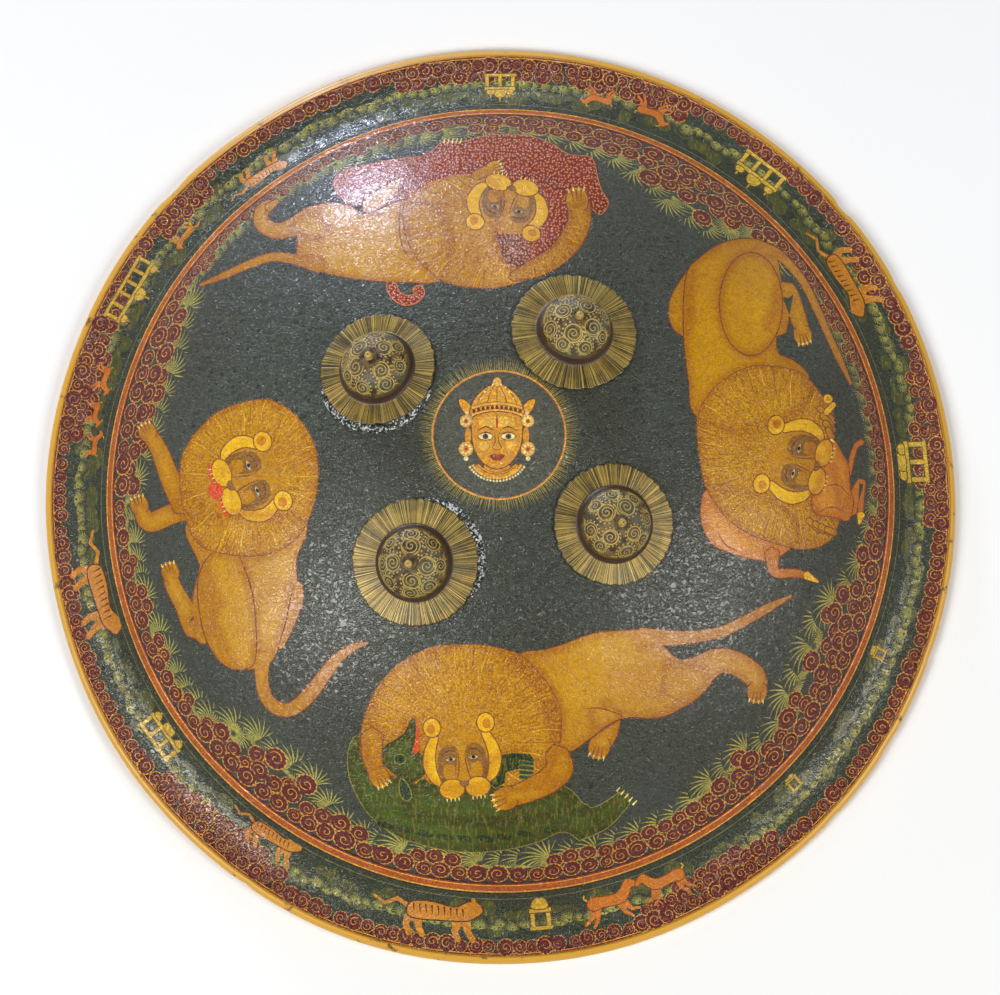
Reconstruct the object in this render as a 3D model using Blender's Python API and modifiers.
"""A painted hide dhal: a round Indian shield, lying dome up on its flared rim.

Metres, +Z up. The origin is on the floor below the middle of the dome, and +Y is the top of the painting.
Run with: blender --background --python part.py
"""

import math

import bmesh
import bpy
from mathutils import Matrix, Vector

# The moulded hide.
RIM_RADIUS = 0.2600  # out to the rounded edge
RING_RADIUS = 0.2220  # where the dome turns into the flared rim, on the front
RING_SLOPE = math.radians(44.0)  # how steep the dome is there
EDGE_SLOPE = math.radians(8.0)  # how far the rim turns up again at its edge
HIDE = 0.0070  # thickness of the hide
REST_FLAT = 0.0003  # worn off below the rim, so that it lies on a flat ring
RIDGE_HEIGHT = 0.0007  # low moulded ridge that carries the orange band
RIDGE_WIDTH = 0.0060

# Hand moulding leaves the outline a little out of round: waves round the rim, turn and share of the radius.
# Their counts are even, so that the outline stays centred on the origin.
OUT_OF_ROUND = ((2, math.radians(180.0), 0.0090), (4, math.radians(40.0), 0.0012), (10, math.radians(25.0), 0.0008))
OUT_OF_ROUND_POWER = 6  # how fast it dies away towards the middle

# The four bosses, cast with their shanks.
BOSS_SPREAD = 0.0768  # from the middle of the four to the axis of each, in plan
BOSS_TURN = math.radians(11.0)  # the square of bosses is turned against the painting
BOSS_SHIFT = (-0.0029, 0.0127)  # the middle of the four lies this far from the middle of the rim
FLANGE_RADIUS = 0.0325
FLANGE_THICKNESS = 0.0016
LOBES = 40
LOBE_DEPTH = 0.0009
RIB_HEIGHT = 0.0005  # of the flange's radial ribs
CUP_RADIUS = 0.0196  # the domed cup of the boss, at its foot
CUP_HEIGHT = 0.0160  # above the flange
GROOVE_WIDTH = 0.0022  # round the cup's foot
GROOVE_DEPTH = 0.0007
KNOB_RADIUS = 0.0021
KNOB_HEIGHT = 0.0032
COLLAR_HEIGHT = 0.0013  # of the disc below the knob
COLLAR_RADII = {"upper_right": 0.0027, "upper_left": 0.0046, "lower_left": 0.0041, "lower_right": 0.0034}
SHANK_RADIUS = 0.0035

# The fastening behind: two padded leather grips, held by a rove on each shank.
GRIP_WIDTH = 0.0230
STRAP_THICKNESS = 0.0035
PAD_THICKNESS = 0.0110  # in the middle of the grip
GRIP_RISE = 0.0330  # how far the middle of the grip stands off from the ends
TAB = 0.0045  # of strap past the rove, at the end
FLAT_TAB = 0.0035  # of flat strap past the rove, on the grip's side
TAB_ROUNDING = 0.0070  # at the end of the strap
ROVE_RADIUS = 0.0080
ROVE_THICKNESS = 0.0016
HEAD_RADIUS = 0.0056  # the clenched end of the shank
HEAD_HEIGHT = 0.0022

# Fits.
GAP = 0.0003  # between pieces that touch
BORE_CLEARANCE = 0.0006  # round a shank

# Facets. The middle of the dome, which carries the bosses and grips, has the finest.
TURNS = 64
MIDDLE_ANGLE = math.radians(22.0)
MIDDLE_STEPS = 5
OUTER_STEPS = 3
CUP_TURNS = 24
SMALL_TURNS = 12
GRIP_CORNERS = 10

COLOURS = {
    "lacquered_hide": ((0.035, 0.045, 0.042), 0.35, 0.0),
    "gilt_boss": ((0.42, 0.28, 0.07), 0.38, 0.6),
    "iron": ((0.16, 0.13, 0.10), 0.5, 0.9),
    "leather": ((0.16, 0.065, 0.03), 0.6, 0.0),
}

SIN_RING = math.sin(RING_SLOPE)
DOME_RADIUS = RING_RADIUS / SIN_RING
FLARE_RADIUS = (RIM_RADIUS - HIDE / 2 - RING_RADIUS - HIDE / 2 * math.sin(EDGE_SLOPE)) / (
    SIN_RING + math.sin(EDGE_SLOPE)
)
FLARE_CENTRE = Vector((RING_RADIUS + FLARE_RADIUS * SIN_RING, FLARE_RADIUS + HIDE - REST_FLAT))
DOME_CENTRE_Z = FLARE_CENTRE.y - (FLARE_RADIUS + DOME_RADIUS) * math.cos(RING_SLOPE)
DOME_CENTRE = Vector((0, 0, DOME_CENTRE_Z))
# The strap is flat across its width and the hollow of the hide is faceted, so both come closer in places.
FACET_SAG = DOME_RADIUS * (1 - math.cos(MIDDLE_ANGLE / MIDDLE_STEPS / 2))
SEAT_GAP = GAP + FACET_SAG + (GRIP_WIDTH / 2) ** 2 / 2 / (DOME_RADIUS - HIDE)
STRAP_OUTER = DOME_RADIUS - HIDE - SEAT_GAP  # from the dome's centre to the strap's outer face
ROVE_TOP = -(HIDE + SEAT_GAP + STRAP_THICKNESS + 1.5 * GAP)  # in a boss's own frame, as are the next two
HEAD_TOP = ROVE_TOP - ROVE_THICKNESS - GAP
HEAD_END = HEAD_TOP - HEAD_HEIGHT


def clear_scene():
    for obj in list(bpy.data.objects):
        bpy.data.objects.remove(obj)


def make_material(name):
    colour, roughness, metallic = COLOURS[name]
    material = bpy.data.materials.new(name)
    material.use_nodes = True
    shader = material.node_tree.nodes["Principled BSDF"]
    shader.inputs["Base Color"].default_value = (*colour, 1)
    shader.inputs["Roughness"].default_value = roughness
    shader.inputs["Metallic"].default_value = metallic
    return material


def add_object(name, mesh, material, collection):
    obj = bpy.data.objects.new(name, mesh)
    collection.objects.link(obj)
    if material:
        mesh.materials.clear()
        mesh.materials.append(material)
    mesh.shade_smooth()
    mesh.set_sharp_from_angle(angle=math.radians(35))
    return obj


def mesh_from(build):
    """A mesh whose faces build adds to a bmesh, with its faces pointing out."""
    shape = bmesh.new()
    build(shape)
    bmesh.ops.recalc_face_normals(shape, faces=shape.faces)
    mesh = bpy.data.meshes.new("shape")
    shape.to_mesh(mesh)
    shape.free()
    return mesh


def arc(centre, radius, start, end, steps):
    """Points (r, z) on an arc about centre. Angles are slopes: 0 is level, and a falling surface is positive."""
    angles = [start + (end - start) * i / steps for i in range(steps + 1)]
    return [(centre[0] + radius * math.sin(a), centre[1] + radius * math.cos(a)) for a in angles]


def flat_angle():
    """Half the part of the flare's underside that is worn flat, as an angle about the flare's centre."""
    return math.acos(1 - REST_FLAT / (FLARE_RADIUS + HIDE))


def ridge_points():
    """The low ridge at the ring, as three points lifted off the dome along its normal."""
    half = RIDGE_WIDTH / 2 / DOME_RADIUS
    lifts = ((-half, 0.0), (-half / 2, RIDGE_HEIGHT), (half / 2, RIDGE_HEIGHT))
    return [
        arc((0, DOME_CENTRE_Z), DOME_RADIUS + lift, RING_SLOPE + offset - half, 0, 1)[0] for offset, lift in lifts
    ]


def flare(radius, start, end, steps):
    """The flared rim curves the other way, about a centre above it."""
    return [(2 * FLARE_CENTRE.x - r, 2 * FLARE_CENTRE.y - z) for r, z in arc(FLARE_CENTRE, radius, start, end, steps)]


def hide_profile():
    """The hide's section, from the top of the dome out over the front, round the edge and back underneath."""
    dome = (0, DOME_CENTRE_Z)
    ridge_start = RING_SLOPE - RIDGE_WIDTH / DOME_RADIUS * 1.5
    front = arc(dome, DOME_RADIUS, 0, MIDDLE_ANGLE, MIDDLE_STEPS)
    front += arc(dome, DOME_RADIUS, MIDDLE_ANGLE, ridge_start, OUTER_STEPS)[1:] + ridge_points()
    front += flare(FLARE_RADIUS, RING_SLOPE, -EDGE_SLOPE, 5)
    back_radius = FLARE_RADIUS + HIDE
    middle = flare(FLARE_RADIUS + HIDE / 2, -EDGE_SLOPE, 0, 1)[0]
    edge = arc(middle, HIDE / 2, -EDGE_SLOPE, math.pi - EDGE_SLOPE, 5)[1:-1]
    back = flare(back_radius, -EDGE_SLOPE, -flat_angle(), 1) + flare(back_radius, flat_angle(), RING_SLOPE, 3)
    inside = arc(dome, DOME_RADIUS - HIDE, RING_SLOPE, MIDDLE_ANGLE, OUTER_STEPS)[1:]
    inside += arc(dome, DOME_RADIUS - HIDE, MIDDLE_ANGLE, 0, MIDDLE_STEPS)[1:]
    return front + edge + back + inside


def out_of_round(x, y):
    """How much further out the hide reaches at this point of the plan, as a share of the distance."""
    share = math.hypot(x, y) / RIM_RADIUS
    angle = math.atan2(y, x)
    waves = sum(size * math.cos(count * angle + turn) for count, turn, size in OUT_OF_ROUND)
    return 1 + waves * share**OUT_OF_ROUND_POWER


def make_hide(material, collection):
    """Turns the section, then leaves the outline as uneven as hand moulding does."""
    profile = hide_profile()
    section = bpy.data.meshes.new("section")
    section.from_pydata(
        [(r, 0, z) for r, z in profile],
        [(i, i + 1) for i in range(len(profile) - 1)],
        [],
    )
    turned = bpy.data.objects.new("turned", section)
    collection.objects.link(turned)
    screw = turned.modifiers.new("turn", "SCREW")
    screw.steps = screw.render_steps = TURNS
    screw.use_merge_vertices = True
    screw.merge_threshold = 0.0001
    bpy.context.view_layer.update()
    mesh = bpy.data.meshes.new_from_object(turned.evaluated_get(bpy.context.evaluated_depsgraph_get()))
    bpy.data.objects.remove(turned)
    for vertex in mesh.vertices:
        grow = out_of_round(vertex.co.x, vertex.co.y)
        vertex.co.x *= grow
        vertex.co.y *= grow
    mesh.name = "hide"
    return add_object("shield_hide", mesh, material, collection)


def boss_normals():
    """The direction from the dome's centre out through each boss, by name."""
    names = ("upper_right", "upper_left", "lower_left", "lower_right")
    normals = {}
    for index, name in enumerate(names):
        angle = math.radians(45 + 90 * index) + BOSS_TURN
        x = BOSS_SPREAD * math.cos(angle) + BOSS_SHIFT[0]
        y = BOSS_SPREAD * math.sin(angle) + BOSS_SHIFT[1]
        normals[name] = Vector((x, y, math.sqrt(DOME_RADIUS**2 - x * x - y * y))).normalized()
    return normals


def boss_frame(normal):
    """A frame on the front of the hide, with +Z along the normal."""
    turn = normal.to_track_quat("Z", "Y").to_matrix().to_4x4()
    return Matrix.Translation(DOME_CENTRE + normal * DOME_RADIUS) @ turn


def seat_height(radius, lift):
    """How high a sphere lies that is lift above the dome, at this distance from a boss's axis."""
    return math.sqrt((DOME_RADIUS + lift) ** 2 - radius**2) - DOME_RADIUS


def ring(shape, count, radius, height, notch=0.0, rib=0.0):
    """A ring of points. Every second one may lie further in by notch and lower by rib."""
    points = []
    for i in range(count):
        angle = 2 * math.pi * i / count
        reach = radius - notch * (i % 2)
        points.append(shape.verts.new((reach * math.cos(angle), reach * math.sin(angle), height - rib * (i % 2))))
    return points


def bridge(shape, upper, lower):
    """Joins two rings of points, which may hold different counts, with triangles."""
    a = b = 0
    while a < len(upper) or b < len(lower):
        next_a = (a + 1) / len(upper)
        next_b = (b + 1) / len(lower)
        here_a = upper[a % len(upper)]
        here_b = lower[b % len(lower)]
        if next_a <= next_b:
            shape.faces.new((here_a, here_b, upper[(a + 1) % len(upper)]))
            a += 1
        else:
            shape.faces.new((here_a, here_b, lower[(b + 1) % len(lower)]))
            b += 1


def finial_rings(collar, crown):
    """A small knob on a disc, down to the top of the cup at height crown."""
    return [
        (SMALL_TURNS, KNOB_RADIUS * 0.7, crown + COLLAR_HEIGHT + KNOB_HEIGHT * 0.85),
        (SMALL_TURNS, KNOB_RADIUS, crown + COLLAR_HEIGHT + KNOB_HEIGHT * 0.5),
        (SMALL_TURNS, KNOB_RADIUS * 0.75, crown + COLLAR_HEIGHT),
        (SMALL_TURNS, collar, crown + COLLAR_HEIGHT * 0.7),
        (SMALL_TURNS, collar * 0.85, crown - COLLAR_HEIGHT * 0.6),
    ]


def boss_rings(collar):
    """The values of each ring of a boss, from the finial down to the shank's clenched end."""
    on_hide = GAP + FLANGE_THICKNESS
    top = seat_height(0, on_hide)
    rings = finial_rings(collar, top + CUP_HEIGHT)
    first = math.asin(collar / CUP_RADIUS)
    cup_steps = 4
    for i in range(1, cup_steps):
        angle = first + (math.pi / 2 - first) * i / cup_steps
        rings.append((CUP_TURNS, CUP_RADIUS * math.sin(angle), top + CUP_HEIGHT * math.cos(angle)))
    rings.append((CUP_TURNS, CUP_RADIUS, seat_height(CUP_RADIUS, on_hide - GROOVE_DEPTH)))
    shoulder = CUP_RADIUS + GROOVE_WIDTH
    ribs = 2 * LOBES
    rings.append((ribs, shoulder, seat_height(shoulder, on_hide), 0.0, RIB_HEIGHT))
    rings.append((ribs, FLANGE_RADIUS, seat_height(FLANGE_RADIUS, on_hide), LOBE_DEPTH, RIB_HEIGHT))
    rings.append((ribs, FLANGE_RADIUS, seat_height(FLANGE_RADIUS, GAP), LOBE_DEPTH))
    rings.append((CUP_TURNS, CUP_RADIUS, seat_height(CUP_RADIUS, GAP)))
    rings.append((SMALL_TURNS, SHANK_RADIUS, seat_height(SHANK_RADIUS, GAP)))
    rings.append((SMALL_TURNS, SHANK_RADIUS, HEAD_TOP))
    rings.append((SMALL_TURNS, HEAD_RADIUS, HEAD_TOP))
    rings.append((SMALL_TURNS, HEAD_RADIUS * 0.62, HEAD_END))
    return rings


def build_boss(shape, collar):
    loops = [ring(shape, *values) for values in boss_rings(collar)]
    for upper, lower in zip(loops, loops[1:]):
        bridge(shape, upper, lower)
    crown = seat_height(0, GAP + FLANGE_THICKNESS) + CUP_HEIGHT
    tip = shape.verts.new((0, 0, crown + COLLAR_HEIGHT + KNOB_HEIGHT))
    end = shape.verts.new((0, 0, HEAD_END))
    for loop, pole in ((loops[0], tip), (loops[-1], end)):
        for i in range(len(loop)):
            shape.faces.new((pole, loop[i], loop[(i + 1) % len(loop)]))


def build_rove(shape):
    """A washer on the shank, below the strap."""
    bore = SHANK_RADIUS + GAP
    loops = [
        ring(shape, SMALL_TURNS, bore, ROVE_TOP),
        ring(shape, SMALL_TURNS * 2, ROVE_RADIUS, ROVE_TOP),
        ring(shape, SMALL_TURNS * 2, ROVE_RADIUS, ROVE_TOP - ROVE_THICKNESS),
        ring(shape, SMALL_TURNS, bore, ROVE_TOP - ROVE_THICKNESS),
    ]
    for i in range(len(loops)):
        bridge(shape, loops[i], loops[(i + 1) % len(loops)])


def grip_stations(half_angle):
    """Along the grip: angle about the dome's centre, how far it has lifted (0 to 1), and its share of full width."""
    lift_from = half_angle - (ROVE_RADIUS + FLAT_TAB) / STRAP_OUTER
    end = half_angle + (ROVE_RADIUS + TAB) / STRAP_OUTER
    round_off = TAB_ROUNDING / STRAP_OUTER
    angles = [end - round_off * (1 - math.cos(math.pi / 2 * i / 3)) for i in range(4)]
    angles += [half_angle, lift_from]
    lift_steps = 7
    angles += [lift_from * (1 - i / lift_steps) for i in range(1, lift_steps)]
    stations = []
    for angle in angles + [0.0] + [-a for a in reversed(angles)]:
        inward = min(abs(angle) / lift_from, 1.0)
        lift = 0.5 + 0.5 * math.cos(math.pi * inward)
        past = max(0.0, abs(angle) - (end - round_off)) / round_off
        width = 0.45 + 0.55 * math.sqrt(max(0.0, 1 - past * past))
        stations.append((angle, lift, width))
    return stations


def build_grip(shape, half_angle):
    """A loft of flattened ovals along the grip. Its plane is XZ, the dome's centre is the origin, +Z is the middle."""
    stations = grip_stations(half_angle)
    middles = []
    for angle, lift, _ in stations:
        thickness = STRAP_THICKNESS + (PAD_THICKNESS - STRAP_THICKNESS) * lift
        radius = STRAP_OUTER - STRAP_THICKNESS / 2 - GRIP_RISE * lift
        middles.append((Vector((radius * math.sin(angle), 0, radius * math.cos(angle))), thickness))
    loops = []
    for i, (middle, thickness) in enumerate(middles):
        before = middles[max(i - 1, 0)][0]
        after = middles[min(i + 1, len(middles) - 1)][0]
        along = (after - before).normalized()
        if stations[i][1] == 0.0:
            along = Vector((-middle.z, 0, middle.x)).normalized()
        outward = Vector((0, 1, 0)).cross(along)
        width = GRIP_WIDTH * stations[i][2]
        loop = []
        for k in range(GRIP_CORNERS):
            turn = 2 * math.pi * (k + 0.5) / GRIP_CORNERS
            side = width / 2 * max(-1, min(1, 1.35 * math.cos(turn)))
            depth = thickness / 2 * max(-1, min(1, 1.35 * math.sin(turn)))
            loop.append(shape.verts.new(middle + Vector((0, side, 0)) + outward * depth))
        loops.append(loop)
    for upper, lower in zip(loops, loops[1:]):
        bridge(shape, upper, lower)
    shape.faces.new(loops[0])
    shape.faces.new(loops[-1])


def drill(obj, frame, cutters, depth=0.05):
    """Cuts a shank's hole through obj."""
    bpy.ops.mesh.primitive_cylinder_add(vertices=2 * SMALL_TURNS, radius=SHANK_RADIUS + BORE_CLEARANCE, depth=depth)
    cutter = bpy.context.object
    cutter.name = f"bore_of_{obj.name}"
    cutter.matrix_world = frame
    cutter.hide_render = True
    cutter.display_type = "WIRE"
    for collection in list(cutter.users_collection):
        collection.objects.unlink(cutter)
    cutters.objects.link(cutter)
    hole = obj.modifiers.new("shank hole", "BOOLEAN")
    hole.object = cutter
    hole.operation = "DIFFERENCE"
    hole.solver = "EXACT"


def make_grip(name, first, second, material, collection, cutters):
    """A grip between two bosses, given by their normals."""
    middle = (first + second).normalized()
    along = (first - second).normalized()
    turn = Matrix((along, middle.cross(along), middle)).transposed().to_4x4()
    half_angle = first.angle(second) / 2
    mesh = mesh_from(lambda shape: build_grip(shape, half_angle))
    grip = add_object(name, mesh, material, collection)
    grip.matrix_world = Matrix.Translation(DOME_CENTRE) @ turn
    for normal in (first, second):
        drill(grip, boss_frame(normal), cutters)


def main():
    clear_scene()
    shield = bpy.data.collections.new("dhal_shield")
    cutters = bpy.data.collections.new("cutters")
    for collection in (shield, cutters):
        bpy.context.scene.collection.children.link(collection)
    materials = {name: make_material(name) for name in COLOURS}
    hide = make_hide(materials["lacquered_hide"], shield)
    rove_mesh = mesh_from(build_rove)
    normals = boss_normals()
    for name, normal in normals.items():
        frame = boss_frame(normal)
        drill(hide, frame, cutters)
        boss_mesh = mesh_from(lambda shape, collar=COLLAR_RADII[name]: build_boss(shape, collar))
        boss = add_object(f"boss_{name}", boss_mesh, materials["gilt_boss"], shield)
        boss.matrix_world = frame
        rove = add_object(f"rove_{name}", rove_mesh, materials["iron"], shield)
        rove.matrix_world = frame
    for side in ("left", "right"):
        make_grip(
            f"grip_{side}",
            normals[f"upper_{side}"],
            normals[f"lower_{side}"],
            materials["leather"],
            shield,
            cutters,
        )


main()
